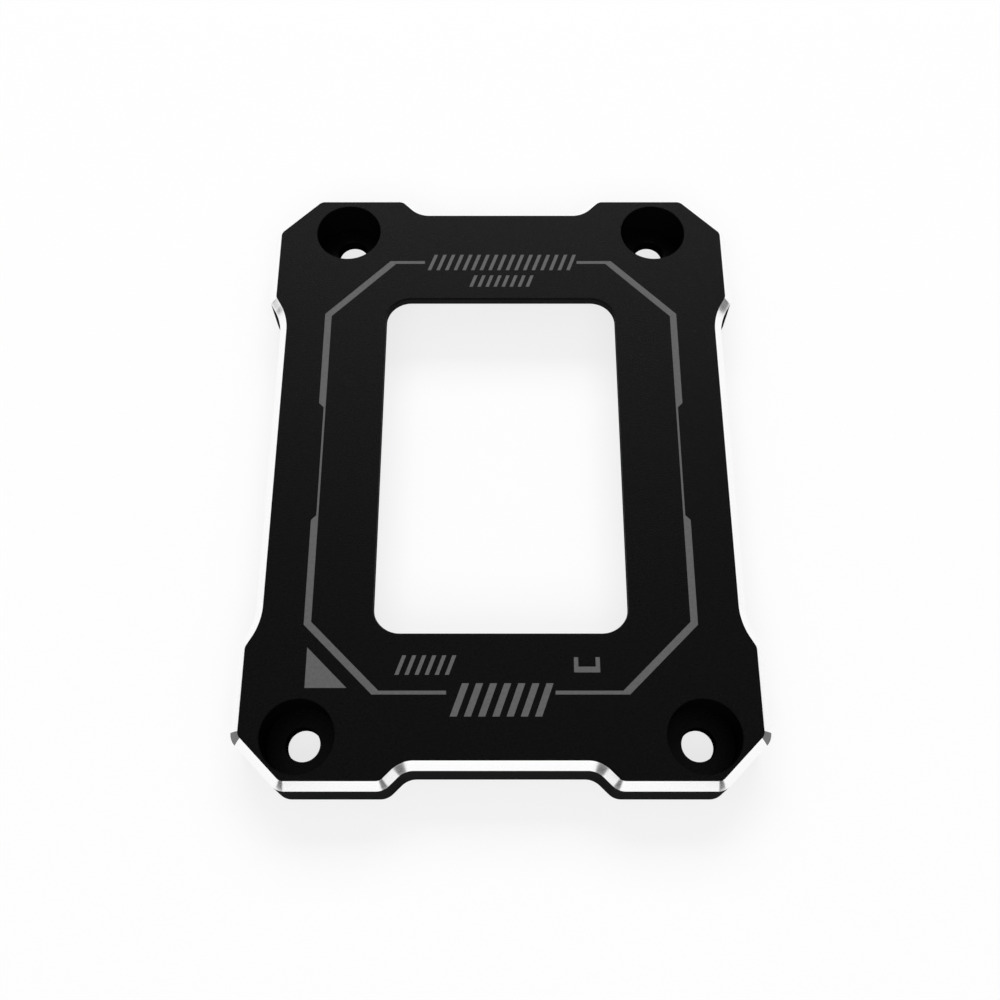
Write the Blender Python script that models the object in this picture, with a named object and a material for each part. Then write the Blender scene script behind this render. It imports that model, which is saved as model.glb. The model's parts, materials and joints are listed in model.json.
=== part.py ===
# Contact frame for a land-grid processor socket.
# One milled plate of aluminium with four ears. It is screwed down over a processor, in place of the
# socket's own clamp, and its thin lip presses evenly on the shoulders of the heat spreader.
# Metres, +Z up. The origin is the centre of the underside. +X is the frame's width, and +Y its length.
# The rear end, whose two screws stand closer together, is at +Y.

import math

import bmesh
import bpy
from mathutils import Vector

MM = 0.001

# Plate
THICKNESS = 6.0 * MM
LIP_THICKNESS = 1.0 * MM

# Socket that the frame stands around, a little to the rear of the plate's centre
SOCKET_WIDTH = 42.4 * MM
SOCKET_LENGTH = 49.0 * MM
SOCKET_CLEARANCE = 0.3 * MM
SOCKET_OFFSET = 0.6 * MM
RECESS_HEIGHT = 2.5 * MM
RECESS_CORNER_RADIUS = 2.0 * MM

# Processor package under the lip. The pocket's corners are relieved for its square corners.
PACKAGE_WIDTH = 37.5 * MM
PACKAGE_LENGTH = 45.0 * MM
PACKAGE_CLEARANCE = 0.35 * MM
CORNER_RELIEF_RADIUS = 1.5 * MM

# Lip around the window
SIDE_LIP = 5.9 * MM
END_LIP = 2.7 * MM
WINDOW_CORNER_RADIUS = 2.8 * MM
WINDOW_EDGE_BREAK = 0.2 * MM

# Screw holes, each with a deep flat seat for the screw's head
SCREW_DIAMETER = 3.3 * MM
SCREW_CLEARANCE = 0.1 * MM
HEAD_BORE_DIAMETER = 7.5 * MM
SCREW_SEAT_HEIGHT = 1.7 * MM

# Walls that are left around the recess and the screw heads
WAIST_WALL = 4.0 * MM
SCREW_WALL = 1.0 * MM
END_WALL = 1.5 * MM
FRONT_SIDE_WALL = 3.0 * MM
REAR_SIDE_WALL = 5.1 * MM

# Ears. Between them the sides and the ends step in along a slope that ends in a fillet.
EAR_WIDTH = 15.5 * MM
EAR_LENGTH = 14.6 * MM
CORNER_CUT = 5.0 * MM
WAIST_STEP = 1.5 * MM
WAIST_SLOPE = math.radians(30.0)
WAIST_FILLET = 6.2 * MM
END_STEP = 2.0 * MM
END_SLOPE = math.radians(45.0)
END_FILLET = 2.2 * MM

# The bright chamfer keeps one width all round, so its corners are tighter at the top face.
CHAMFER = 0.85 * MM
TOP_CORNER_RADIUS = 0.95 * MM

# Sizes that follow from the ones above
RECESS_WIDTH = SOCKET_WIDTH + 2.0 * SOCKET_CLEARANCE
RECESS_LENGTH = SOCKET_LENGTH + 2.0 * SOCKET_CLEARANCE
POCKET_WIDTH = PACKAGE_WIDTH + 2.0 * PACKAGE_CLEARANCE
POCKET_LENGTH = PACKAGE_LENGTH + 2.0 * PACKAGE_CLEARANCE
WINDOW_WIDTH = POCKET_WIDTH - 2.0 * SIDE_LIP
WINDOW_LENGTH = POCKET_LENGTH - 2.0 * END_LIP
HEAD_BORE_RADIUS = HEAD_BORE_DIAMETER / 2.0
SCREW_ROW_Y = SOCKET_OFFSET + RECESS_LENGTH / 2.0 + SCREW_WALL + HEAD_BORE_RADIUS
HALF_WIDTH = RECESS_WIDTH / 2.0 + WAIST_WALL + WAIST_STEP
HALF_LENGTH = SCREW_ROW_Y + HEAD_BORE_RADIUS + END_WALL

# Facets of round stretches
ARC_STEP = math.radians(9.0)
BORE_SIDES = 48

# How far a cutter runs past the faces that it opens
OVERRUN = 1.0 * MM


def clear_scene():
    for item in list(bpy.data.objects):
        bpy.data.objects.remove(item, do_unlink=True)


def black_anodised():
    material = bpy.data.materials.new("black_anodised_aluminium")
    material.use_nodes = True
    shader = material.node_tree.nodes["Principled BSDF"]
    shader.inputs["Base Color"].default_value = (0.012, 0.012, 0.013, 1.0)
    shader.inputs["Metallic"].default_value = 0.0
    shader.inputs["Roughness"].default_value = 0.5
    return material


def arc_points(centre, radius, start, end):
    """Points along an arc from angle start to angle end, both ends included."""
    steps = max(2, math.ceil(abs(end - start) / ARC_STEP))
    angles = [start + (end - start) * step / steps for step in range(steps + 1)]
    return [centre + radius * Vector((math.cos(angle), math.sin(angle))) for angle in angles]


def rounded_corner(before, corner, after, radius, inset):
    """The arc at a corner of an outline that runs counterclockwise.

    The radius is that of the outline itself. The arc is moved into the material by inset about its
    own centre, so that it shrinks at an outer corner and grows at an inner one.
    """
    incoming = (corner - before).normalized()
    outgoing = (after - corner).normalized()
    turn = math.atan2(incoming.cross(outgoing), incoming.dot(outgoing))
    bend = math.copysign(1.0, turn)
    to_centre = bend * Vector((-incoming.y, incoming.x))
    tangent = corner - incoming * radius * math.tan(abs(turn) / 2.0)
    centre = tangent + to_centre * radius
    start = math.atan2(-to_centre.y, -to_centre.x)
    return arc_points(centre, radius - bend * inset, start, start + turn)


def frame_outline(inset):
    """The plate's outline seen from above, moved into the material by inset."""
    ear_x = HALF_WIDTH - EAR_WIDTH
    ear_y = HALF_LENGTH - EAR_LENGTH
    waist_y = ear_y - WAIST_STEP / math.tan(WAIST_SLOPE)
    end_x = ear_x - END_STEP / math.tan(END_SLOPE)
    outer_radius = CHAMFER + TOP_CORNER_RADIUS
    quarter = [
        (HALF_WIDTH - WAIST_STEP, waist_y, WAIST_FILLET),
        (HALF_WIDTH, ear_y, outer_radius),
        (HALF_WIDTH, HALF_LENGTH - CORNER_CUT, outer_radius),
        (HALF_WIDTH - CORNER_CUT, HALF_LENGTH, outer_radius),
        (ear_x, HALF_LENGTH, outer_radius),
        (end_x, HALF_LENGTH - END_STEP, END_FILLET),
    ]
    corners = list(quarter)
    corners += [(-x, y, radius) for x, y, radius in reversed(quarter)]
    corners += [(-x, -y, radius) for x, y, radius in quarter]
    corners += [(x, -y, radius) for x, y, radius in reversed(quarter)]
    points = []
    for index, (x, y, radius) in enumerate(corners):
        before = Vector(corners[index - 1][:2])
        after = Vector(corners[(index + 1) % len(corners)][:2])
        points += rounded_corner(before, Vector((x, y)), after, radius, inset)
    return points


def socket_rectangle(width, length, centre_inset, radius, sweep):
    """A rectangle about the socket's centre with an arc at each corner.

    The arc's centre lies centre_inset in from both sides, and the arc sweeps evenly to both sides
    of the corner's diagonal.
    """
    points = []
    for quadrant in range(4):
        diagonal = math.radians(45.0 + 90.0 * quadrant)
        x = math.copysign(width / 2.0 - centre_inset, math.cos(diagonal))
        y = math.copysign(length / 2.0 - centre_inset, math.sin(diagonal))
        centre = Vector((x, SOCKET_OFFSET + y))
        points += arc_points(centre, radius, diagonal - sweep / 2.0, diagonal + sweep / 2.0)
    return points


def rounded_rectangle(width, length, radius, growth=0.0):
    """A rectangle with rounded corners, grown outwards all round by growth."""
    return socket_rectangle(width, length, radius, radius + growth, math.radians(90.0))


def relieved_rectangle(width, length, relief_radius):
    """A rectangle with a half round of relief at each corner, so that square corners fit in it."""
    return socket_rectangle(width, length, relief_radius / math.sqrt(2.0), relief_radius, math.radians(180.0))


def circle(centre, radius):
    turn = 2.0 * math.pi / BORE_SIDES
    angles = [side * turn for side in range(BORE_SIDES)]
    return [centre + radius * Vector((math.cos(angle), math.sin(angle))) for angle in angles]


def solid_through(name, sections):
    """A closed solid through sections, lowest first. A section is a height and an outline."""
    shape = bmesh.new()
    loops = []
    for height, outline in sections:
        loops.append([shape.verts.new((point.x, point.y, height)) for point in outline])
    shape.faces.new(list(reversed(loops[0])))
    shape.faces.new(loops[-1])
    for lower, upper in zip(loops, loops[1:]):
        for index in range(len(lower)):
            follower = (index + 1) % len(lower)
            shape.faces.new((lower[index], lower[follower], upper[follower], upper[index]))
    mesh = bpy.data.meshes.new(name)
    shape.to_mesh(mesh)
    shape.free()
    solid = bpy.data.objects.new(name, mesh)
    bpy.context.collection.objects.link(solid)
    return solid


def make_plate():
    side = frame_outline(0.0)
    top = frame_outline(CHAMFER)
    return solid_through("contact_frame", [(0.0, side), (THICKNESS - CHAMFER, side), (THICKNESS, top)])


def make_window_cutter():
    """The window, with a flare that breaks its upper edge."""
    straight = rounded_rectangle(WINDOW_WIDTH, WINDOW_LENGTH, WINDOW_CORNER_RADIUS)
    growth = WINDOW_EDGE_BREAK + OVERRUN
    flared = rounded_rectangle(WINDOW_WIDTH, WINDOW_LENGTH, WINDOW_CORNER_RADIUS, growth)
    sections = [
        (-OVERRUN, straight),
        (THICKNESS - WINDOW_EDGE_BREAK, straight),
        (THICKNESS + OVERRUN, flared),
    ]
    return solid_through("window_cutter", sections)


def make_pocket_cutter():
    outline = relieved_rectangle(POCKET_WIDTH, POCKET_LENGTH, CORNER_RELIEF_RADIUS)
    return solid_through("pocket_cutter", [(-OVERRUN, outline), (THICKNESS - LIP_THICKNESS, outline)])


def make_recess_cutter():
    outline = rounded_rectangle(RECESS_WIDTH, RECESS_LENGTH, RECESS_CORNER_RADIUS)
    return solid_through("recess_cutter", [(-OVERRUN, outline), (RECESS_HEIGHT, outline)])


def make_screw_cutters():
    """One stepped cutter for each screw: its hole, and the wider bore for its head above."""
    hole_radius = SCREW_DIAMETER / 2.0 + SCREW_CLEARANCE
    rear_x = HALF_WIDTH - REAR_SIDE_WALL - HEAD_BORE_RADIUS
    front_x = HALF_WIDTH - FRONT_SIDE_WALL - HEAD_BORE_RADIUS
    places = {
        "rear_left": (-rear_x, SCREW_ROW_Y),
        "rear_right": (rear_x, SCREW_ROW_Y),
        "front_left": (-front_x, -SCREW_ROW_Y),
        "front_right": (front_x, -SCREW_ROW_Y),
    }
    cutters = []
    for name, place in places.items():
        hole = circle(Vector(place), hole_radius)
        bore = circle(Vector(place), HEAD_BORE_RADIUS)
        sections = [
            (-OVERRUN, hole),
            (SCREW_SEAT_HEIGHT, hole),
            (SCREW_SEAT_HEIGHT, bore),
            (THICKNESS + OVERRUN, bore),
        ]
        cutters.append(solid_through(name + "_screw_cutter", sections))
    return cutters


def cut(solid, cutter):
    cutter.hide_render = True
    cutter.display_type = "WIRE"
    modifier = solid.modifiers.new(cutter.name, "BOOLEAN")
    modifier.operation = "DIFFERENCE"
    modifier.object = cutter
    modifier.solver = "EXACT"


def main():
    clear_scene()
    frame = make_plate()
    frame.data.materials.append(black_anodised())
    for cutter in [make_window_cutter(), make_pocket_cutter(), make_recess_cutter(), *make_screw_cutters()]:
        cut(frame, cutter)
    frame.data.shade_smooth()
    frame.data.set_sharp_from_angle(angle=math.radians(25.0))


main()
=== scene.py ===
import contextlib
import json
import math

import bmesh
import bpy
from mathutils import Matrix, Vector


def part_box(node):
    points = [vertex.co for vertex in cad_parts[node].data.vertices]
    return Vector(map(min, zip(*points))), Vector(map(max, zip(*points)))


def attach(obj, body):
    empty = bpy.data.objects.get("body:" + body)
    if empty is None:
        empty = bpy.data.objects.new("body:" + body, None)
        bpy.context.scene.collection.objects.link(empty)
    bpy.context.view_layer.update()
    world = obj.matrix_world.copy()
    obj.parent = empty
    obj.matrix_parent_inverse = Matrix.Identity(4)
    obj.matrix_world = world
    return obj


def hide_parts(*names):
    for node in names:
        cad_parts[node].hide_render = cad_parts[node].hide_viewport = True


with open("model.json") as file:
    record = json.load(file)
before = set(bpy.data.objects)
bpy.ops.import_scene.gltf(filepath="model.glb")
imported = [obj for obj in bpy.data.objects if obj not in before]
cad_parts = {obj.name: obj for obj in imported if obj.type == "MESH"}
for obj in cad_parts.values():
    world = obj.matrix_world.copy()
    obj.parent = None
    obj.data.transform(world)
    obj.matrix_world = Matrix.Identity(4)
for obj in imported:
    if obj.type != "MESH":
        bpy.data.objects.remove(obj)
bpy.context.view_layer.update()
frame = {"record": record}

bl_info = {
    "name": "Processor contact frame",
    "version": (1, 0, 0),
    "blender": (4, 5, 0),
    "location": "3D Viewport > Sidebar > Contact frame",
    "description": "Models a milled and anodised processor contact frame and the table it is shown on",
    "category": "Object",
}

MM = 0.001
FRAME_NODE = "contact_frame"

# Box of the solid model, measured before anything is added to it
FRAME_LOW, FRAME_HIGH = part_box(FRAME_NODE)
HALF_WIDTH = FRAME_HIGH.x
HALF_LENGTH = FRAME_HIGH.y
THICKNESS = FRAME_HIGH.z

# Places closer together than this are taken for the same place.
NEAR = 0.002 * MM

# A face is level when its normal's height is above LEVEL, and steep when it is below STEEP.
LEVEL = 0.9
STEEP = 0.3

# How far a cutting tool runs past the faces that it opens
OVERRUN = 1.0 * MM

# Sides of the screw holes and of the bores for the screws' heads, and segments of rounded corners
HOLE_SIDES = 64
BORE_SIDES = 128
CORNER_SEGMENTS = 16
FILLET_SEGMENTS = 14

# Slopes of the two strips of the outer chamfer, lower one first. Together they make it a little convex.
CHAMFER_SLOPES = (math.radians(49.0), math.radians(41.0))


def opening_centres():
    """The middle of each opening that the record states, seen from above."""
    centres = {}
    for opening in frame["record"]["physics"]["openings"]:
        low, high = opening["box_m"]
        centres[opening["name"]] = Vector(((low[0] + high[0]) / 2.0, (low[1] + high[1]) / 2.0, 0.0))
    return centres


OPENING_CENTRES = opening_centres()
SOCKET_CENTRE = OPENING_CENTRES["heat_spreader_window"]
SCREW_AXES = [centre for name, centre in OPENING_CENTRES.items() if name.endswith("_head_bore")]


def length(name, description, default):
    return bpy.props.FloatProperty(
        name=name, description=description, default=default, min=0.0, unit="LENGTH", precision=5
    )


def colour(name, description, default):
    return bpy.props.FloatVectorProperty(
        name=name, description=description, default=default, size=3, min=0.0, max=1.0, subtype="COLOR"
    )


def share(name, description, default):
    return bpy.props.FloatProperty(
        name=name, description=description, default=default, min=0.0, max=1.0, subtype="FACTOR"
    )


class PlateSizes(bpy.types.PropertyGroup):
    """Sizes of the milled plate. Its overall size comes from the solid model."""

    chamfer: length("Chamfer", "Width of the bright chamfer round the outer edge", 0.85 * MM)
    edge_radius: length("Edge radius", "Radius of the plate's outer corners", 1.8 * MM)
    ear_width: length("Ear width", "Width of each ear along the ends", 15.5 * MM)
    ear_length: length("Ear length", "Length of each ear along the sides", 14.6 * MM)
    corner_cut: length("Corner cut", "Length cut off each outer corner, along both sides", 5.0 * MM)
    waist_step: length("Waist step", "How far the sides step in between the ears", 1.5 * MM)
    waist_run: length("Waist run", "Length of the slope from an ear to the waist", 2.598 * MM)
    waist_fillet: length("Waist fillet", "Radius where the slope runs into the waist", 6.2 * MM)
    end_step: length("End step", "How far the ends step in between the ears", 2.0 * MM)
    end_run: length("End run", "Width of the slope from an ear to the end", 2.0 * MM)
    end_fillet: length("End fillet", "Radius where the slope runs into the end", 2.2 * MM)
    window_width: length("Window width", "Width of the window for the heat spreader", 26.4 * MM)
    window_length: length("Window length", "Length of the window for the heat spreader", 40.3 * MM)
    window_radius: length("Window radius", "Radius of the window's corners", 2.8 * MM)
    window_break: length("Window edge break", "Width of the small bevel round the window", 0.2 * MM)
    lip: length("Lip", "Thickness of the lip round the window", 1.0 * MM)
    pocket_width: length("Pocket width", "Width of the pocket under the lip", 38.2 * MM)
    pocket_length: length("Pocket length", "Length of the pocket under the lip", 45.7 * MM)
    pocket_relief: length("Pocket relief", "Radius of the relief in the pocket's corners", 1.5 * MM)
    recess_width: length("Recess width", "Width of the recess for the socket", 43.0 * MM)
    recess_length: length("Recess length", "Length of the recess for the socket", 49.6 * MM)
    recess_height: length("Recess height", "Height of the recess for the socket", 2.5 * MM)
    recess_radius: length("Recess radius", "Radius of the recess's corners", 2.0 * MM)
    head_bore: length("Head bore", "Diameter of the bore for a screw's head", 7.5 * MM)
    screw_hole: length("Screw hole", "Diameter of the hole for a screw", 3.5 * MM)
    screw_seat: length("Screw seat", "Height of the screw's seat over the underside", 1.7 * MM)
    edge_break: length("Edge break", "Width of the bevel on the lower edges", 0.15 * MM)
    bore_break: length("Bore edge break", "Width of the bevel on the rims of the bores", 0.06 * MM)


class MarkSizes(bpy.types.PropertyGroup):
    """Sizes of the laser marks on the top face."""

    depth: length("Depth", "How deep the laser takes the dark skin off", 0.02 * MM)
    half_width: length("Half width", "Distance from the middle to the edge of the side lines", 20.3 * MM)
    rear: length("Rear", "Distance from the middle to the outer edge of the rear line", 26.05 * MM)
    front: length("Front", "Distance from the middle to the outer edge of the front line", 25.97 * MM)
    corner_cut: length("Corner cut", "Length that the slanted lines cut off each corner", 7.3 * MM)
    stroke: length("Stroke", "Width of the side lines and the slanted lines", 0.76 * MM)
    end_stroke: length("End stroke", "Width of the rear and front lines", 0.41 * MM)
    thin_stroke: length("Thin stroke", "Width of the thin middle stretch of the side lines", 0.22 * MM)
    thin_rear: length("Thin stretch, rear", "Distance from the middle to its rear end", 7.1 * MM)
    thin_front: length("Thin stretch, front", "Distance from the middle to its front end", 7.0 * MM)
    rear_gap: length("Rear gap", "Half the width of the gap in the rear line", 8.95 * MM)
    front_gap: length("Front gap", "Half the width of the gap in the front line", 5.5 * MM)


class FinishColours(bpy.types.PropertyGroup):
    """Colours of the finishes."""

    anodised: colour("Anodised skin", "Black anodised, bead blasted aluminium", (0.0009, 0.0009, 0.001))
    wall: colour("Anodised walls", "Black skin over the cutter's marks", (0.0155, 0.0155, 0.0165))
    # Painted shade: the same black skin as the other walls, made darker in the screws' bores and holes.
    bore: colour("Anodised bores", "Walls of the screws' bores and holes", (0.003, 0.003, 0.003))
    chamfer: colour("Chamfer", "Bare aluminium, cut bright after the anodising", (0.97, 0.97, 0.975))
    # Painted dark reflection: a dark grey for the chamfer at the front ears' outer corners, standing in
    # for the dark that these corners reflect.
    dark_reflection_corner: colour("Dull corner", "Corners of the chamfer, cut less clean", (0.19, 0.19, 0.19))
    mark: colour("Laser mark", "Skin that the laser has bleached", (0.099, 0.099, 0.099))
    anodised_roughness: share("Anodised roughness", "Roughness of the blasted skin", 0.36)
    chamfer_roughness: share("Chamfer roughness", "Roughness of the bright cut", 0.2)


class StageSettings(bpy.types.PropertyGroup):
    """The floor, the cards and the light from all round."""

    floor_size: length("Floor size", "Width of the floor", 2.8)
    floor_gap: length("Floor gap", "How far the floor is kept from the underside", 0.01 * MM)
    floor: colour("Floor", "Colour of the floor", (0.98, 0.98, 0.98))
    floor_glow: share("Floor glow", "Share of plain white in what the camera sees of the floor", 0.77)
    card: colour("Card", "Colour of the cards that the chamfer reflects", (0.16, 0.16, 0.16))
    card_distance: length("Card distance", "How far the cards stand from the frame", 0.5)
    horizon: share("Horizon", "Strength of the light from all round at the horizon", 0.16)
    zenith: share("Zenith", "Strength of the light from straight above", 0.34)


SETTINGS = {
    "contact_frame_plate": PlateSizes,
    "contact_frame_marks": MarkSizes,
    "contact_frame_finish": FinishColours,
    "contact_frame_stage": StageSettings,
}


# Selecting and editing

def use_alone(piece):
    """Makes a piece the active object and the only one selected."""
    bpy.ops.object.select_all(action="DESELECT")
    piece.select_set(True)
    bpy.context.view_layer.objects.active = piece


@contextlib.contextmanager
def editing(piece):
    """Edit mode on one piece."""
    use_alone(piece)
    bpy.ops.object.mode_set(mode="EDIT")
    yield
    bpy.ops.object.mode_set(mode="OBJECT")


def pick(piece, kind, passes):
    """In edit mode, selects only the vertices, edges or faces that pass a test."""
    bpy.ops.mesh.select_mode(type=kind)
    bpy.ops.mesh.select_all(action="DESELECT")
    shape = bmesh.from_edit_mesh(piece.data)
    elements = {"VERT": shape.verts, "EDGE": shape.edges, "FACE": shape.faces}[kind]
    found = [element for element in elements if passes(element)]
    if not found:
        raise RuntimeError(f"{piece.name}: nothing to pick")
    for element in found:
        element.select_set(True)
    shape.select_flush_mode()
    bmesh.update_edit_mesh(piece.data)


def near(value, place):
    return abs(value - place) < NEAR


def move(x=0.0, y=0.0, z=0.0):
    bpy.ops.transform.translate(value=(x, y, z))


def slice_across(x=None, y=None):
    """In edit mode, cuts all faces along a line at one x or one y."""
    bpy.ops.mesh.select_all(action="SELECT")
    if x is not None:
        bpy.ops.mesh.bisect(plane_co=(x, 0.0, 0.0), plane_no=(1.0, 0.0, 0.0))
    else:
        bpy.ops.mesh.bisect(plane_co=(0.0, y, 0.0), plane_no=(0.0, 1.0, 0.0))


def arc_profile(turn):
    """The bevel profile that comes closest to a round arc at a corner of that turn."""
    return (1.0 - 0.5 / (1.0 + math.cos(turn / 2.0))) ** 2


def round_corners(piece, passes, radius, turn, segments):
    """In edit mode, rounds the picked corners of a flat outline to a radius."""
    pick(piece, "VERT", passes)
    reach = radius * math.tan(turn / 2.0)
    bpy.ops.mesh.bevel(offset=reach, segments=segments, profile=arc_profile(turn), affect="VERTICES")


def add_plane(name, low_x, low_y, high_x, high_y, z=0.0):
    bpy.ops.object.select_all(action="DESELECT")
    centre = ((low_x + high_x) / 2.0, (low_y + high_y) / 2.0, z)
    bpy.ops.mesh.primitive_plane_add(size=1.0, location=centre)
    plane = bpy.context.object
    plane.name = name
    plane.scale = (high_x - low_x, high_y - low_y, 1.0)
    bpy.ops.object.transform_apply(location=True, rotation=True, scale=True)
    return plane


def add_block(name, centre, width, depth, bottom, top):
    bpy.ops.object.select_all(action="DESELECT")
    bpy.ops.mesh.primitive_cube_add(size=1.0, location=(centre.x, centre.y, (bottom + top) / 2.0))
    block = bpy.context.object
    block.name = name
    block.scale = (width, depth, top - bottom)
    bpy.ops.object.transform_apply(location=True, rotation=True, scale=True)
    return block


def add_cylinder(name, centre, diameter, bottom, top, sides):
    bpy.ops.object.select_all(action="DESELECT")
    bpy.ops.mesh.primitive_cylinder_add(
        vertices=sides,
        radius=diameter / 2.0,
        depth=top - bottom,
        location=(centre.x, centre.y, (bottom + top) / 2.0),
    )
    cylinder = bpy.context.object
    cylinder.name = name
    bpy.ops.object.transform_apply(location=True, rotation=True, scale=True)
    return cylinder


def is_upright(edge):
    low, high = edge.verts
    return near(low.co.x, high.co.x) and near(low.co.y, high.co.y)


def round_block(block, radius):
    """Rounds the four upright edges of a block."""
    with editing(block):
        pick(block, "EDGE", is_upright)
        bpy.ops.mesh.bevel(offset=radius, segments=CORNER_SEGMENTS, profile=0.5, affect="EDGES")


def cut_away(piece, cutter):
    """Takes a cutter's shape out of a piece, and the cutter out of the scene."""
    use_alone(piece)
    bpy.ops.object.modifier_add(type="BOOLEAN")
    modifier = piece.modifiers[-1]
    modifier.operation = "DIFFERENCE"
    modifier.solver = "EXACT"
    modifier.object = cutter
    bpy.ops.object.modifier_apply(modifier=modifier.name)
    bpy.data.objects.remove(cutter, do_unlink=True)


# The milled plate

def shape_outline(plane, sizes):
    """Gives a flat rectangle the frame's outline, with ears at its corners."""
    cut_x = HALF_WIDTH - sizes.corner_cut
    cut_y = HALF_LENGTH - sizes.corner_cut
    ear_x = HALF_WIDTH - sizes.ear_width
    ear_y = HALF_LENGTH - sizes.ear_length
    end_x = ear_x - sizes.end_run
    waist_y = ear_y - sizes.waist_run
    waist_x = HALF_WIDTH - sizes.waist_step
    end_y = HALF_LENGTH - sizes.end_step
    waist_turn = math.atan2(sizes.waist_step, sizes.waist_run)
    end_turn = math.atan2(sizes.end_step, sizes.end_run)

    def at(vertex, x=None, y=None):
        """Whether a vertex stands at x or at y, or at both, on any side of the middle."""
        return (x is None or near(abs(vertex.co.x), x)) and (y is None or near(abs(vertex.co.y), y))

    with editing(plane):
        for side in (-1, 1):
            for x in (end_x, ear_x):
                slice_across(x=side * x)
            for y in (waist_y, ear_y):
                slice_across(y=side * y)
        for side in (-1, 1):
            pick(
                plane, "VERT", lambda v: near(v.co.y, side * HALF_LENGTH) and abs(v.co.x) < end_x + NEAR
            )
            move(y=-side * sizes.end_step)
            pick(
                plane, "VERT", lambda v: near(v.co.x, side * HALF_WIDTH) and abs(v.co.y) < waist_y + NEAR
            )
            move(x=-side * sizes.waist_step)
        bpy.ops.mesh.select_all(action="SELECT")
        bpy.ops.mesh.dissolve_faces()
        pick(plane, "VERT", lambda v: at(v, x=HALF_WIDTH, y=HALF_LENGTH))
        bpy.ops.mesh.bevel(offset=sizes.corner_cut, segments=1, affect="VERTICES")
        round_corners(plane, lambda v: at(v, x=waist_x), sizes.waist_fillet, waist_turn, FILLET_SEGMENTS)
        round_corners(plane, lambda v: at(v, y=end_y), sizes.end_fillet, end_turn, FILLET_SEGMENTS)
        round_corners(plane, lambda v: at(v, y=ear_y), sizes.edge_radius, waist_turn, segments=6)
        round_corners(plane, lambda v: at(v, x=ear_x), sizes.edge_radius, end_turn, segments=6)
        round_corners(
            plane,
            lambda v: at(v, x=HALF_WIDTH, y=cut_y) or at(v, x=cut_x, y=HALF_LENGTH),
            sizes.edge_radius,
            turn=math.radians(45.0),
            segments=8,
        )


def step_in(run, rise):
    """In edit mode, insets the picked face by run and lifts it by rise."""
    bpy.ops.mesh.inset(thickness=run, use_even_offset=True)
    move(z=rise)


def raise_plate(plane, sizes):
    """Makes a solid plate of the outline, with the wide chamfer above and a small bevel below."""
    run = sizes.chamfer / len(CHAMFER_SLOPES)
    rises = [run * math.tan(slope) for slope in CHAMFER_SLOPES]
    with editing(plane):
        bpy.ops.mesh.select_all(action="SELECT")
        height = THICKNESS - sum(rises) - sizes.edge_break
        bpy.ops.mesh.extrude_region_move(TRANSFORM_OT_translate={"value": (0.0, 0.0, height)})
        for rise in rises:
            step_in(run, rise)
        pick(plane, "FACE", lambda f: f.normal.z < -LEVEL)
        step_in(sizes.edge_break, -sizes.edge_break)


def cut_window(plate, sizes):
    width, depth = sizes.window_width, sizes.window_length
    cutter = add_block("window_cutter", SOCKET_CENTRE, width, depth, -OVERRUN, THICKNESS + OVERRUN)
    round_block(cutter, sizes.window_radius)
    cut_away(plate, cutter)


def cut_pocket(plate, sizes):
    """The pocket for the processor's package, with round reliefs in its corners."""
    ceiling = THICKNESS - sizes.lip
    width, depth = sizes.pocket_width, sizes.pocket_length
    cut_away(plate, add_block("pocket_cutter", SOCKET_CENTRE, width, depth, -OVERRUN, ceiling))
    inset = sizes.pocket_relief / math.sqrt(2.0)
    diameter = 2.0 * sizes.pocket_relief
    for side_x in (-1, 1):
        for side_y in (-1, 1):
            corner = Vector((side_x * (width / 2.0 - inset), side_y * (depth / 2.0 - inset), 0.0))
            centre = SOCKET_CENTRE + corner
            relief = add_cylinder("relief_cutter", centre, diameter, -OVERRUN, ceiling, HOLE_SIDES)
            cut_away(plate, relief)


def cut_recess(plate, sizes):
    width, depth = sizes.recess_width, sizes.recess_length
    cutter = add_block("recess_cutter", SOCKET_CENTRE, width, depth, -OVERRUN, sizes.recess_height)
    round_block(cutter, sizes.recess_radius)
    cut_away(plate, cutter)


def bore_screw_hole(plate, axis, sizes):
    """A deep bore for the screw's head, and the narrower hole through its seat."""
    hole = add_cylinder("hole_cutter", axis, sizes.screw_hole, -OVERRUN, THICKNESS, HOLE_SIDES)
    cut_away(plate, hole)
    mouth = THICKNESS + OVERRUN
    bore = add_cylinder("bore_cutter", axis, sizes.head_bore, sizes.screw_seat, mouth, BORE_SIDES)
    cut_away(plate, bore)


def edge_height(edge):
    """The height of a level edge, or None for any other edge."""
    low, high = edge.verts
    return low.co.z if near(low.co.z, high.co.z) else None


def bounds_two_levels(edge):
    """Whether an edge is a sharp one, between a level face and a steep one."""
    if len(edge.link_faces) != 2:
        return False
    first, second = (abs(face.normal.z) for face in edge.link_faces)
    return max(first, second) > LEVEL and min(first, second) < STEEP


def bevel_rim(plate, height, passes, width, segments=1):
    """Bevels the rim of a hole at one height. The test says which places belong to the hole."""

    def is_rim(edge):
        level = edge_height(edge)
        if level is None or not near(level, height) or not bounds_two_levels(edge):
            return False
        return all(passes(vertex.co) for vertex in edge.verts)

    with editing(plate):
        pick(plate, "EDGE", is_rim)
        bpy.ops.mesh.bevel(offset=width, segments=segments, profile=0.5, affect="EDGES")


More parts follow.
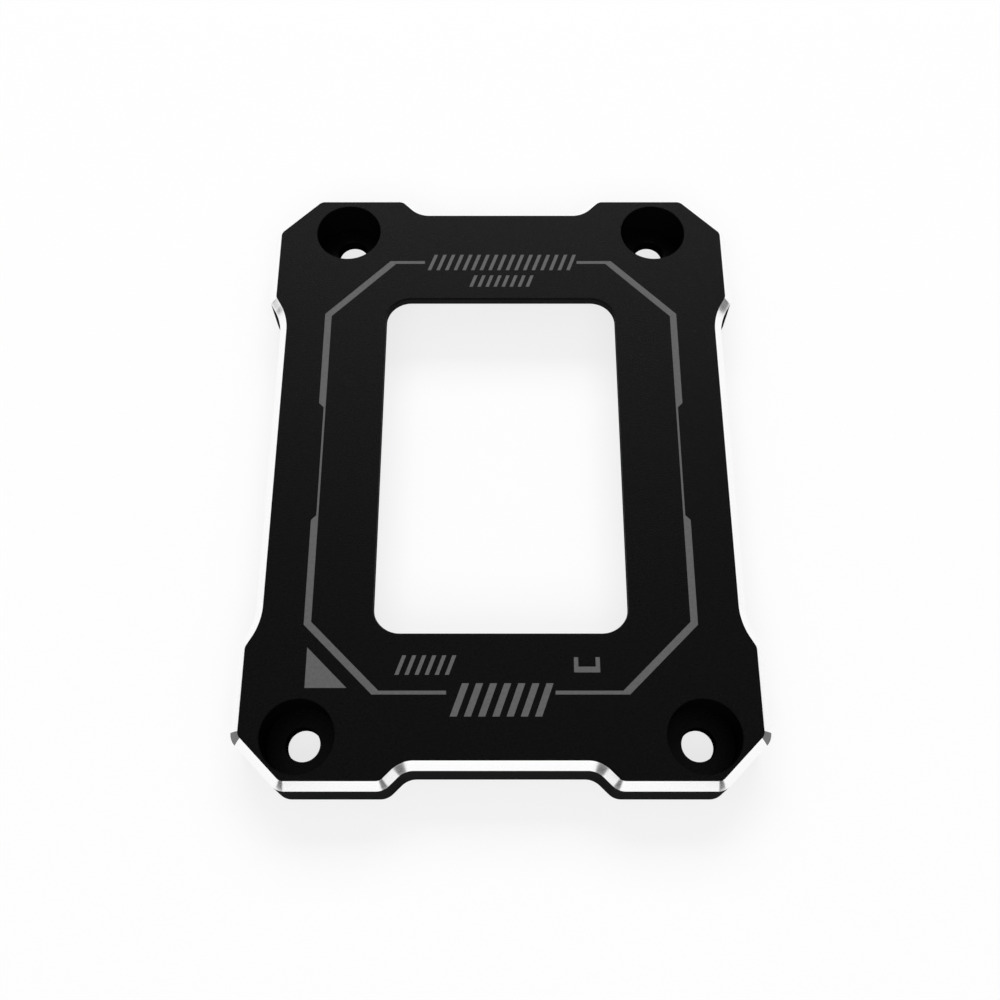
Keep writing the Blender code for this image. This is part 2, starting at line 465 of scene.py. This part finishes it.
def break_edges(plate, sizes):
    """The small bevels on the rims of the window, the recess and the screw holes."""
    centre = SOCKET_CENTRE

    def in_rectangle(width, depth):
        return lambda co: (
            abs(co.x - centre.x) < width / 2.0 + NEAR and abs(co.y - centre.y) < depth / 2.0 + NEAR
        )

    def near_axis(axis, diameter):
        return lambda co: (co.xy - axis.xy).length < diameter / 2.0 + NEAR

    in_window = in_rectangle(sizes.window_width, sizes.window_length)
    in_recess = in_rectangle(sizes.recess_width, sizes.recess_length)
    bevel_rim(plate, THICKNESS, in_window, sizes.window_break, segments=2)
    bevel_rim(plate, 0.0, in_recess, sizes.edge_break)
    for axis in SCREW_AXES:
        bevel_rim(plate, THICKNESS, near_axis(axis, sizes.head_bore), sizes.bore_break)
        bevel_rim(plate, sizes.screw_seat, near_axis(axis, sizes.screw_hole), sizes.bore_break)
        bevel_rim(plate, 0.0, near_axis(axis, sizes.screw_hole), sizes.edge_break)


def make_plate(sizes, materials):
    plane = add_plane(
        FRAME_NODE + "_milled", -HALF_WIDTH, -HALF_LENGTH, HALF_WIDTH, HALF_LENGTH, sizes.edge_break
    )
    for material in materials:
        plane.data.materials.append(material)
    shape_outline(plane, sizes)
    raise_plate(plane, sizes)
    finish_chamfer(plane, sizes)
    cut_window(plane, sizes)
    cut_pocket(plane, sizes)
    cut_recess(plane, sizes)
    for axis in SCREW_AXES:
        bore_screw_hole(plane, axis, sizes)
    break_edges(plane, sizes)
    return plane


# The laser marks

def make_ring(marks):
    """The line round the window: thick at its sides and corners, thin at its ends and half way along."""
    ring = add_plane("ring", -marks.half_width, -marks.front, marks.half_width, marks.rear)
    inner_x = marks.half_width - marks.stroke
    thin_x = inner_x + marks.thin_stroke
    slope = marks.half_width - thin_x
    rear_y = marks.rear - marks.stroke
    front_y = marks.front - marks.stroke
    narrowing = marks.stroke - marks.end_stroke
    with editing(ring):
        bpy.ops.mesh.select_all(action="SELECT")
        bpy.ops.mesh.bevel(offset=marks.corner_cut, segments=1, affect="VERTICES")
        bpy.ops.mesh.select_all(action="SELECT")
        bpy.ops.mesh.inset(thickness=marks.stroke, use_even_offset=True)
        bpy.ops.mesh.delete(type="ONLY_FACE")
        for side in (-1, 1):
            pick(ring, "VERT", lambda v: near(v.co.y, rear_y) and v.co.x * side > 0.0)
            move(x=-side * narrowing, y=narrowing)
            pick(ring, "VERT", lambda v: near(v.co.y, -front_y) and v.co.x * side > 0.0)
            move(x=-side * narrowing, y=-narrowing)
        for end_y in (marks.thin_rear, slope - marks.thin_front):
            slice_across(y=end_y)
            slice_across(y=end_y - slope)
        for side in (-1, 1):
            pick(
                ring,
                "VERT",
                lambda v: near(v.co.x, side * marks.half_width)
                and slope - marks.thin_front - NEAR < v.co.y < marks.thin_rear - slope + NEAR,
            )
            move(x=-side * slope)
            slice_across(x=side * marks.rear_gap)
            slice_across(x=side * marks.front_gap)

        def is_gap(face):
            centre = face.calc_center_median()
            return abs(centre.x) < (marks.rear_gap if centre.y > 0.0 else marks.front_gap)

        pick(ring, "FACE", is_gap)
        bpy.ops.mesh.delete(type="FACE")
    return ring


def make_corner_triangle():
    """The triangle that shows which corner holds the first contact."""
    corner_x, corner_y, leg = -19.78 * MM, -25.30 * MM, 4.25 * MM
    triangle = add_plane("triangle", corner_x, corner_y, corner_x + leg, corner_y + leg)
    with editing(triangle):
        bpy.ops.mesh.select_all(action="SELECT")
        bpy.ops.mesh.bisect(
            plane_co=(corner_x, corner_y + leg, 0.0), plane_no=(1.0, 1.0, 0.0), clear_outer=True
        )
    return triangle


def make_bracket():
    """The small open bracket on the right."""
    left, right, bottom, top = 7.42 * MM, 10.07 * MM, -23.70 * MM, -22.10 * MM
    leg, foot = 0.45 * MM, 0.62 * MM
    bracket = add_plane("bracket", left, bottom, right, top)
    with editing(bracket):
        slice_across(x=left + leg)
        slice_across(x=right - leg)
        slice_across(y=bottom + foot)
        middle = (left + right) / 2.0

        def is_mouth(face):
            centre = face.calc_center_median()
            return near(centre.x, middle) and centre.y > bottom + foot

        pick(bracket, "FACE", is_mouth)
        bpy.ops.mesh.delete(type="FACE")
    return bracket


def make_bar(x, y, width, height, lean):
    """An upright bar on the base line y, whose top is moved sideways by lean."""
    bar = add_plane("bar", x - width / 2.0, y, x + width / 2.0, y + height)
    with editing(bar):
        pick(bar, "VERT", lambda v: near(v.co.y, y + height))
        move(x=lean)
    return bar


def make_bar_row(middle_x, y, count, pitch, width, height, lean):
    """A row of slanted bars, all of them alike."""
    first_x = middle_x - lean / 2.0 - pitch * (count - 1) / 2.0
    return [make_bar(first_x + pitch * number, y, width, height, lean) for number in range(count)]


def make_bar_rows():
    """Two rows at the rear, one at the front left and one at the front middle."""
    rear = make_bar_row(
        middle_x=0.15 * MM, y=24.75 * MM, count=17,
        pitch=1.02 * MM, width=0.42 * MM, height=2.2 * MM, lean=0.8 * MM,
    )
    under_rear = make_bar_row(
        middle_x=0.1 * MM, y=22.45 * MM, count=8,
        pitch=0.94 * MM, width=0.4 * MM, height=1.6 * MM, lean=0.58 * MM,
    )
    front_left = make_bar_row(
        middle_x=-7.65 * MM, y=-23.95 * MM, count=6,
        pitch=1.02 * MM, width=0.42 * MM, height=2.05 * MM, lean=0.74 * MM,
    )
    front_middle = make_bar_row(
        middle_x=0.1 * MM, y=-28.2 * MM, count=7,
        pitch=1.42 * MM, width=0.72 * MM, height=3.4 * MM, lean=1.2 * MM,
    )
    return rear + under_rear + front_left + front_middle


def make_mark_cutter(marks):
    """All the marks in one object of separate flat-topped solids, which reach down to the marks' floor."""
    shapes = [make_ring(marks), make_corner_triangle(), make_bracket(), *make_bar_rows()]
    bpy.ops.object.select_all(action="DESELECT")
    for shape in shapes:
        shape.select_set(True)
    cutter = shapes[0]
    bpy.context.view_layer.objects.active = cutter
    bpy.ops.object.join()
    with editing(cutter):
        bpy.ops.mesh.select_all(action="SELECT")
        bpy.ops.mesh.dissolve_limited(angle_limit=math.radians(0.1))
        bpy.ops.mesh.select_all(action="SELECT")
        move(z=THICKNESS - marks.depth)
        bpy.ops.mesh.extrude_region_move(TRANSFORM_OT_translate={"value": (0.0, 0.0, OVERRUN)})
        bpy.ops.mesh.select_all(action="SELECT")
        bpy.ops.mesh.normals_make_consistent(inside=False)
    return cutter


# Finishes

# Noise lies mostly between these two values.
PATTERN_LOW = 0.3
PATTERN_HIGH = 0.7


def new_material(name):
    """A new material, its node tree and its shader."""
    material = bpy.data.materials.new(name)
    material.use_nodes = True
    return material, material.node_tree, material.node_tree.nodes["Principled BSDF"]


def add_node(tree, kind, x, y, **settings):
    node = tree.nodes.new(kind)
    node.location = (x, y)
    for setting, value in settings.items():
        setattr(node, setting, value)
    return node


def new_group(name, inputs, outputs):
    """A shader node group with named number inputs and outputs, and its two end nodes."""
    group = bpy.data.node_groups.new(name, "ShaderNodeTree")
    for label, default in inputs:
        socket = group.interface.new_socket(label, in_out="INPUT", socket_type="NodeSocketFloat")
        socket.default_value = default
    for label in outputs:
        group.interface.new_socket(label, in_out="OUTPUT", socket_type="NodeSocketFloat")
    return group, add_node(group, "NodeGroupInput", -900, 0), add_node(group, "NodeGroupOutput", 500, 0)


def blasted_grain_group():
    """Fine pits left by bead blasting, and a faint mottle over them."""
    group, inputs, outputs = new_group(
        "blasted_grain", [("Pit scale", 6000.0), ("Mottle scale", 4000.0)], ["Height", "Mottle"]
    )
    place = add_node(group, "ShaderNodeTexCoord", -900, -200)
    pits = add_node(group, "ShaderNodeTexNoise", -400, 150)
    pits.inputs["Detail"].default_value = 3.0
    pits.inputs["Roughness"].default_value = 0.65
    mottle = add_node(group, "ShaderNodeTexNoise", -400, -150)
    mottle.inputs["Detail"].default_value = 4.0
    for texture, scale, result in ((pits, "Pit scale", "Height"), (mottle, "Mottle scale", "Mottle")):
        group.links.new(place.outputs["Object"], texture.inputs["Vector"])
        group.links.new(inputs.outputs[scale], texture.inputs["Scale"])
        group.links.new(texture.outputs["Fac"], outputs.inputs[result])
    return group


def cutter_lines_group():
    """Fine, slightly uneven lines along a direction, as a cutting tool or a laser leaves them."""
    group, inputs, outputs = new_group(
        "cutter_lines", [("Distance", 0.0), ("Lines per metre", 5000.0)], ["Height"]
    )
    scaled = add_node(group, "ShaderNodeMath", -600, 0, operation="MULTIPLY")
    lines = add_node(group, "ShaderNodeTexNoise", -300, 0, noise_dimensions="1D")
    lines.inputs["Scale"].default_value = 1.0
    lines.inputs["Detail"].default_value = 2.0
    group.links.new(inputs.outputs["Distance"], scaled.inputs[0])
    group.links.new(inputs.outputs["Lines per metre"], scaled.inputs[1])
    group.links.new(scaled.outputs["Value"], lines.inputs["W"])
    group.links.new(lines.outputs["Fac"], outputs.inputs["Height"])
    return group


def place_group(tree, group, x, y, **values):
    node = add_node(tree, "ShaderNodeGroup", x, y, node_tree=group)
    for label, value in values.items():
        node.inputs[label.replace("_", " ").capitalize()].default_value = value
    return node


def vary(tree, source, target, middle, amount):
    """Feeds a number that a pattern moves up and down by an amount into a socket."""
    spread = add_node(tree, "ShaderNodeMapRange", -600, 0)
    spread.inputs["From Min"].default_value = PATTERN_LOW
    spread.inputs["From Max"].default_value = PATTERN_HIGH
    spread.inputs["To Min"].default_value = middle - amount
    spread.inputs["To Max"].default_value = middle + amount
    tree.links.new(source, spread.inputs["Value"])
    tree.links.new(spread.outputs["Result"], target)


def vary_colour(tree, source, target, base, amount):
    """Feeds a colour that a pattern makes darker and lighter by a share of itself into a socket."""
    ramp = add_node(tree, "ShaderNodeValToRGB", -600, 200)
    dark, light = ramp.color_ramp.elements
    dark.position = PATTERN_LOW
    light.position = PATTERN_HIGH
    dark.color = [channel * (1.0 - amount) for channel in base] + [1.0]
    light.color = [channel * (1.0 + amount) for channel in base] + [1.0]
    tree.links.new(source, ramp.inputs["Fac"])
    tree.links.new(ramp.outputs["Color"], target)


def lines_along(tree, lines, axis, per_metre):
    """Places the fine lines so that they follow one another along an axis of the piece."""
    place = add_node(tree, "ShaderNodeTexCoord", -1300, -200)
    split = add_node(tree, "ShaderNodeSeparateXYZ", -1100, -200)
    pattern = place_group(tree, lines, -900, -200, lines_per_metre=per_metre)
    tree.links.new(place.outputs["Object"], split.inputs["Vector"])
    tree.links.new(split.outputs[axis], pattern.inputs["Distance"])
    return pattern.outputs["Height"]


def bump_from(tree, source, shader, depth, strength):
    """Makes fine relief in a shader from a pattern."""
    bump = add_node(tree, "ShaderNodeBump", -300, -200)
    bump.inputs["Strength"].default_value = strength
    bump.inputs["Distance"].default_value = depth
    tree.links.new(source, bump.inputs["Height"])
    tree.links.new(bump.outputs["Normal"], shader.inputs["Normal"])


def black_anodised(colours, grain):
    """The blasted faces: the top, the seats of the screws and the underside."""
    material, tree, shader = new_material("black_anodised_blasted")
    shader.inputs["Metallic"].default_value = 0.0
    shader.inputs["Specular IOR Level"].default_value = 0.044
    pattern = place_group(tree, grain, -900, 0, pit_scale=6000.0, mottle_scale=4000.0)
    mottle = pattern.outputs["Mottle"]
    vary_colour(tree, mottle, shader.inputs["Base Color"], base=colours.anodised, amount=0.6)
    vary(tree, mottle, shader.inputs["Roughness"], middle=colours.anodised_roughness, amount=0.1)
    bump_from(tree, pattern.outputs["Height"], shader, depth=0.04 * MM, strength=1.0)
    return material


def cut_walls(name, base, lines):
    """The upright faces, which the milling cutter leaves dull under the same black skin."""
    material, tree, shader = new_material(name)
    shader.inputs["Metallic"].default_value = 0.0
    shader.inputs["Specular IOR Level"].default_value = 0.0
    shader.inputs["Roughness"].default_value = 0.7
    pattern = lines_along(tree, lines, "Z", per_metre=5000.0)
    vary_colour(tree, pattern, shader.inputs["Base Color"], base=base, amount=0.15)
    bump_from(tree, pattern, shader, depth=0.004 * MM, strength=0.5)
    return material


def bright_chamfer(colours, lines):
    """The outer chamfer, cut bright after the anodising."""
    material, tree, shader = new_material("bright_cut_aluminium")
    shader.inputs["Metallic"].default_value = 1.0
    pattern = lines_along(tree, lines, "Z", per_metre=16000.0)
    roughness = colours.chamfer_roughness
    vary_colour(tree, pattern, shader.inputs["Base Color"], base=colours.chamfer, amount=0.02)
    vary(tree, pattern, shader.inputs["Roughness"], middle=roughness, amount=0.2 * roughness)
    bump_from(tree, pattern, shader, depth=0.001 * MM, strength=0.4)
    return material


def dark_reflection_corner(colours):
    """The short stretches of the chamfer at the front ears' outer corners, in a darker grey metal that
    paints in the dark reflection those corners show.
    """
    material, _, shader = new_material("painted_reflection_aluminium")
    shader.inputs["Base Color"].default_value = (*colours.dark_reflection_corner, 1.0)
    shader.inputs["Metallic"].default_value = 1.0
    shader.inputs["Roughness"].default_value = 0.45
    return material


def laser_mark(colours, grain, lines):
    """The marks' floor, hatched by the laser over the blasted grain."""
    material, tree, shader = new_material("laser_marked_skin")
    shader.inputs["Metallic"].default_value = 0.0
    shader.inputs["Specular IOR Level"].default_value = 0.2
    shader.inputs["Roughness"].default_value = 0.6
    pattern = place_group(tree, grain, -900, 200, pit_scale=6500.0, mottle_scale=3000.0)
    vary_colour(
        tree, pattern.outputs["Mottle"], shader.inputs["Base Color"], base=colours.mark, amount=0.1
    )
    hatch = lines_along(tree, lines, "Y", per_metre=12000.0)
    bump_from(tree, hatch, shader, depth=0.01 * MM, strength=0.5)
    return material


def make_finishes(colours):
    grain = blasted_grain_group()
    lines = cutter_lines_group()
    return [
        black_anodised(colours, grain),
        cut_walls("black_anodised_milled", colours.wall, lines),
        # Painted shade: the bores get a darker copy of the walls' black skin.
        cut_walls("black_anodised_bore_shade", colours.bore, lines),
        bright_chamfer(colours, lines),
        dark_reflection_corner(colours),
        laser_mark(colours, grain, lines),
    ]


def give_finish(piece, name, passes):
    """Gives the faces that pass a test one of the finishes that the piece has."""
    with editing(piece):
        pick(piece, "FACE", passes)
        piece.active_material_index = piece.data.materials.find(name)
        bpy.ops.object.material_slot_assign()


def finish_chamfer(plate, sizes):
    """Bright metal on the chamfer, with a darker grey metal at the outer corners of the front ears as a
    painted dark reflection.
    """
    corner_y = HALF_LENGTH - sizes.corner_cut

    def is_chamfer(face):
        return STEEP < face.normal.z < LEVEL

    def is_outer_corner(face):
        centre = face.calc_center_median()
        return (
            is_chamfer(face)
            and abs(centre.y + corner_y) < sizes.edge_radius / 2.0
            and abs(centre.x) > HALF_WIDTH - 1.2 * sizes.chamfer
        )

    give_finish(plate, "bright_cut_aluminium", is_chamfer)
    # Painted dark reflection on the chamfer at the front ears' outer corners
    give_finish(plate, "painted_reflection_aluminium", is_outer_corner)


def finish_surfaces(plate, sizes, marks):
    """The finishes of the walls, the bores and the marks. The chamfer has had its own since its cut."""
    reach = sizes.head_bore / 2.0 + NEAR

    def is_wall(face):
        return abs(face.normal.z) < STEEP and face.material_index == 0

    def is_bore(face):
        centre = face.calc_center_median().xy
        is_close = any((centre - axis.xy).length < reach for axis in SCREW_AXES)
        return abs(face.normal.z) < STEEP and is_close

    def is_mark(face):
        return face.normal.z > LEVEL and near(face.calc_center_median().z, THICKNESS - marks.depth)

    give_finish(plate, "black_anodised_milled", is_wall)
    # Painted shade: darker skin on the walls of the screws' bores and holes
    give_finish(plate, "black_anodised_bore_shade", is_bore)
    give_finish(plate, "laser_marked_skin", is_mark)


def smooth_plate(plate):
    """Shades round stretches smooth, and keeps flat faces flat up to their edges."""
    use_alone(plate)
    bpy.ops.object.shade_smooth_by_angle(angle=math.radians(25.0))
    bpy.ops.object.modifier_add(type="WEIGHTED_NORMAL")
    modifier = plate.modifiers[-1]
    modifier.keep_sharp = True
    modifier.weight = 100
    bpy.ops.object.modifier_apply(modifier=modifier.name)


# Stage

def add_floor(stage):
    half = stage.floor_size / 2.0
    floor = add_plane("floor", -half, -half, half, half, -stage.floor_gap)
    floor.data.materials.append(floor_material(stage))


def seen_directly(tree, x, y):
    """One for what the camera, metal or glass shows, and nought for light that falls on the object."""
    path = add_node(tree, "ShaderNodeLightPath", x, y)
    first = add_node(tree, "ShaderNodeMath", x + 200, y, operation="MAXIMUM")
    second = add_node(tree, "ShaderNodeMath", x + 400, y, operation="MAXIMUM")
    tree.links.new(path.outputs["Is Camera Ray"], first.inputs[0])
    tree.links.new(path.outputs["Is Glossy Ray"], first.inputs[1])
    tree.links.new(first.outputs["Value"], second.inputs[0])
    tree.links.new(path.outputs["Is Transmission Ray"], second.inputs[1])
    return second.outputs["Value"]


def floor_material(stage):
    """A pale floor that looks white and keeps a soft shadow."""
    material = bpy.data.materials.new("floor_paint")
    material.use_nodes = True
    tree = material.node_tree
    tree.nodes.clear()
    paint = add_node(tree, "ShaderNodeBsdfDiffuse", 0, 0)
    paint.inputs["Color"].default_value = (*stage.floor, 1.0)
    glow = add_node(tree, "ShaderNodeEmission", 0, -150)
    mix = add_node(tree, "ShaderNodeMixShader", 250, 0)
    amount = add_node(tree, "ShaderNodeMath", 0, 200, operation="MULTIPLY")
    amount.inputs[1].default_value = stage.floor_glow
    out = add_node(tree, "ShaderNodeOutputMaterial", 450, 0)
    tree.links.new(seen_directly(tree, -700, 200), amount.inputs[0])
    tree.links.new(amount.outputs["Value"], mix.inputs["Fac"])
    tree.links.new(paint.outputs["BSDF"], mix.inputs[1])
    tree.links.new(glow.outputs["Emission"], mix.inputs[2])
    tree.links.new(mix.outputs["Shader"], out.inputs["Surface"])
    return material


def add_sky(stage):
    """A dome of light, dim at the horizon and brighter above, which itself looks plain white."""
    world = bpy.data.worlds.new("studio")
    bpy.context.scene.world = world
    world.use_nodes = True
    tree = world.node_tree
    background = tree.nodes["Background"]
    background.inputs["Color"].default_value = (1.0, 1.0, 1.0, 1.0)
    direction = add_node(tree, "ShaderNodeTexCoord", -1100, -200)
    split = add_node(tree, "ShaderNodeSeparateXYZ", -900, -200)
    dome = add_node(tree, "ShaderNodeMapRange", -600, -200)
    dome.inputs["To Min"].default_value = stage.horizon
    dome.inputs["To Max"].default_value = stage.zenith
    strength = add_node(tree, "ShaderNodeMapRange", -300, 0)
    strength.inputs["To Max"].default_value = 1.0
    tree.links.new(direction.outputs["Generated"], split.inputs["Vector"])
    tree.links.new(split.outputs["Z"], dome.inputs["Value"])
    tree.links.new(dome.outputs["Result"], strength.inputs["To Min"])
    tree.links.new(seen_directly(tree, -1100, 100), strength.inputs["Value"])
    tree.links.new(strength.outputs["Result"], background.inputs["Strength"])


def towards(azimuth, elevation):
    """The direction to a place round the object, in degrees. Azimuth 0 is +X and 90 is +Y."""
    turn = math.radians(azimuth)
    rise = math.radians(elevation)
    return Vector((math.cos(turn) * math.cos(rise), math.sin(turn) * math.cos(rise), math.sin(rise)))


def add_softbox(name, direction, distance, width, height, brightness):
    """A soft area lamp that faces the object. Brightness 1 looks white in a mirror."""
    bpy.ops.object.light_add(type="AREA", location=direction * distance)
    lamp = bpy.context.object
    lamp.name = name
    lamp.rotation_euler = direction.to_track_quat("Z", "Y").to_euler()
    lamp.data.shape = "RECTANGLE"
    lamp.data.size = width
    lamp.data.size_y = height
    lamp.data.energy = brightness * math.pi * width * height


def add_card(name, direction, distance, width, height, paint):
    """A grey card outside the picture, which the bright metal shows as a darker stretch."""
    bpy.ops.object.select_all(action="DESELECT")
    bpy.ops.mesh.primitive_plane_add(size=1.0, location=direction * distance)
    card = bpy.context.object
    card.name = name
    card.scale = (width, height, 1.0)
    card.rotation_euler = (-direction).to_track_quat("Z", "Y").to_euler()
    bpy.ops.object.transform_apply(location=True, rotation=True, scale=True)
    card.data.materials.append(paint)
    card.visible_camera = False


def card_material(stage):
    """Plain grey paint with no shine."""
    material, _, shader = new_material("card_paint")
    shader.inputs["Base Color"].default_value = (*stage.card, 1.0)
    shader.inputs["Specular IOR Level"].default_value = 0.0
    shader.inputs["Roughness"].default_value = 1.0
    return material


def add_camera():
    """The camera in front of the frame, looking down on it at the photograph's angle."""
    focal_pixels, image_pixels, sensor_mm = 1156.94, 1000.0, 36.0
    elevation = math.radians(66.725)
    distance = 124.577 * MM
    aim = Vector((-0.086 * MM, -4.706 * MM, THICKNESS))
    back = Vector((0.0, -math.cos(elevation), math.sin(elevation)))
    bpy.ops.object.camera_add(location=aim + back * distance)
    camera = bpy.context.object
    camera.name = "camera"
    camera.rotation_euler = (math.radians(90.0) - elevation, 0.0, 0.0)
    camera.data.sensor_width = sensor_mm
    camera.data.lens = focal_pixels / image_pixels * sensor_mm
    camera.data.clip_start = 1.0 * MM
    bpy.context.scene.camera = camera


class CONTACTFRAME_OT_make_frame(bpy.types.Operator):
    """Mill the plate, mark its top face and give it its finishes"""

    bl_idname = "contact_frame.make_frame"
    bl_label = "Contact frame"

    def execute(self, context):
        scene = context.scene
        plate = make_plate(scene.contact_frame_plate, make_finishes(scene.contact_frame_finish))
        cut_away(plate, make_mark_cutter(scene.contact_frame_marks))
        finish_surfaces(plate, scene.contact_frame_plate, scene.contact_frame_marks)
        smooth_plate(plate)
        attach(plate, "root")
        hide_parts(FRAME_NODE)
        return {"FINISHED"}


class CONTACTFRAME_OT_make_stage(bpy.types.Operator):
    """Set up the floor, the surround, the lamps, the grey cards and the camera"""

    bl_idname = "contact_frame.make_stage"
    bl_label = "Stage"

    def execute(self, context):
        stage = context.scene.contact_frame_stage
        add_floor(stage)
        add_sky(stage)
        add_softbox(
            "rear_softbox", towards(90.0, 42.0), distance=1.2, width=1.0, height=0.5, brightness=6.4
        )
        add_softbox(
            "camera_softbox", towards(270.0, 48.0), distance=1.2, width=1.1, height=0.7, brightness=2.7
        )
        paint = card_material(stage)
        distance = stage.card_distance
        add_card("left_card", towards(242.0, 14.0), distance, width=0.21, height=0.24, paint=paint)
        add_card("right_card", towards(298.0, 14.0), distance, width=0.21, height=0.24, paint=paint)
        add_card("right_side_card", towards(3.0, 9.0), distance, width=0.16, height=0.155, paint=paint)
        add_card("left_side_card", towards(170.5, 5.0), distance, width=0.055, height=0.085, paint=paint)
        add_camera()
        context.scene.view_settings.view_transform = "Standard"
        return {"FINISHED"}


class CONTACTFRAME_PT_panel(bpy.types.Panel):
    """Lists the contact frame's operators"""

    bl_label = "Contact frame"
    bl_idname = "CONTACTFRAME_PT_panel"
    bl_space_type = "VIEW_3D"
    bl_region_type = "UI"
    bl_category = "Contact frame"

    def draw(self, context):
        for operator in OPERATORS:
            self.layout.operator(operator.bl_idname)


OPERATORS = (CONTACTFRAME_OT_make_frame, CONTACTFRAME_OT_make_stage)
CLASSES = (*SETTINGS.values(), *OPERATORS, CONTACTFRAME_PT_panel)


def register():
    for cls in CLASSES:
        bpy.utils.register_class(cls)
    for name, group in SETTINGS.items():
        setattr(bpy.types.Scene, name, bpy.props.PointerProperty(type=group))


def unregister():
    for name in SETTINGS:
        delattr(bpy.types.Scene, name)
    for cls in reversed(CLASSES):
        bpy.utils.unregister_class(cls)


def main():
    register()
    bpy.ops.contact_frame.make_frame()
    bpy.ops.contact_frame.make_stage()


if __name__ == "__main__":
    main()
